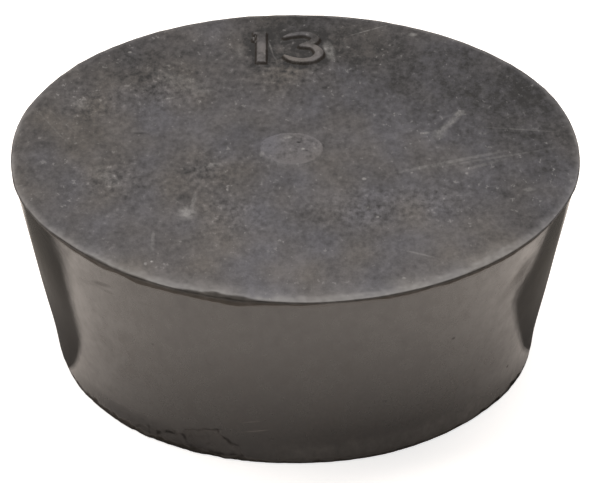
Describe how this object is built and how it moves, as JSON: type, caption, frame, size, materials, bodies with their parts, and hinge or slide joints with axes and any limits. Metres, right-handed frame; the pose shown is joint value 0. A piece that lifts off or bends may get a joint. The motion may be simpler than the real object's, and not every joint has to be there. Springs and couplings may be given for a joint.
{
  "type": "rubber stopper",
  "caption": "Solid tapered laboratory stopper of dark rubber with a trimmed lip round its large end, for plugging a round neck.",
  "frame": {"origin": "centre of the small end's face, on the axis", "axes": "+Z along the axis, from the small end towards the large end; +Y towards the raised size number on the large end, so that it reads upright from -Y"},
  "size_m": [0.068, 0.068, 0.0256],
  "materials": {
    "rubber": "satin"
  },
  "bodies": {
    "root": {"stopper": "rubber"}
  },
  "joints": []
}
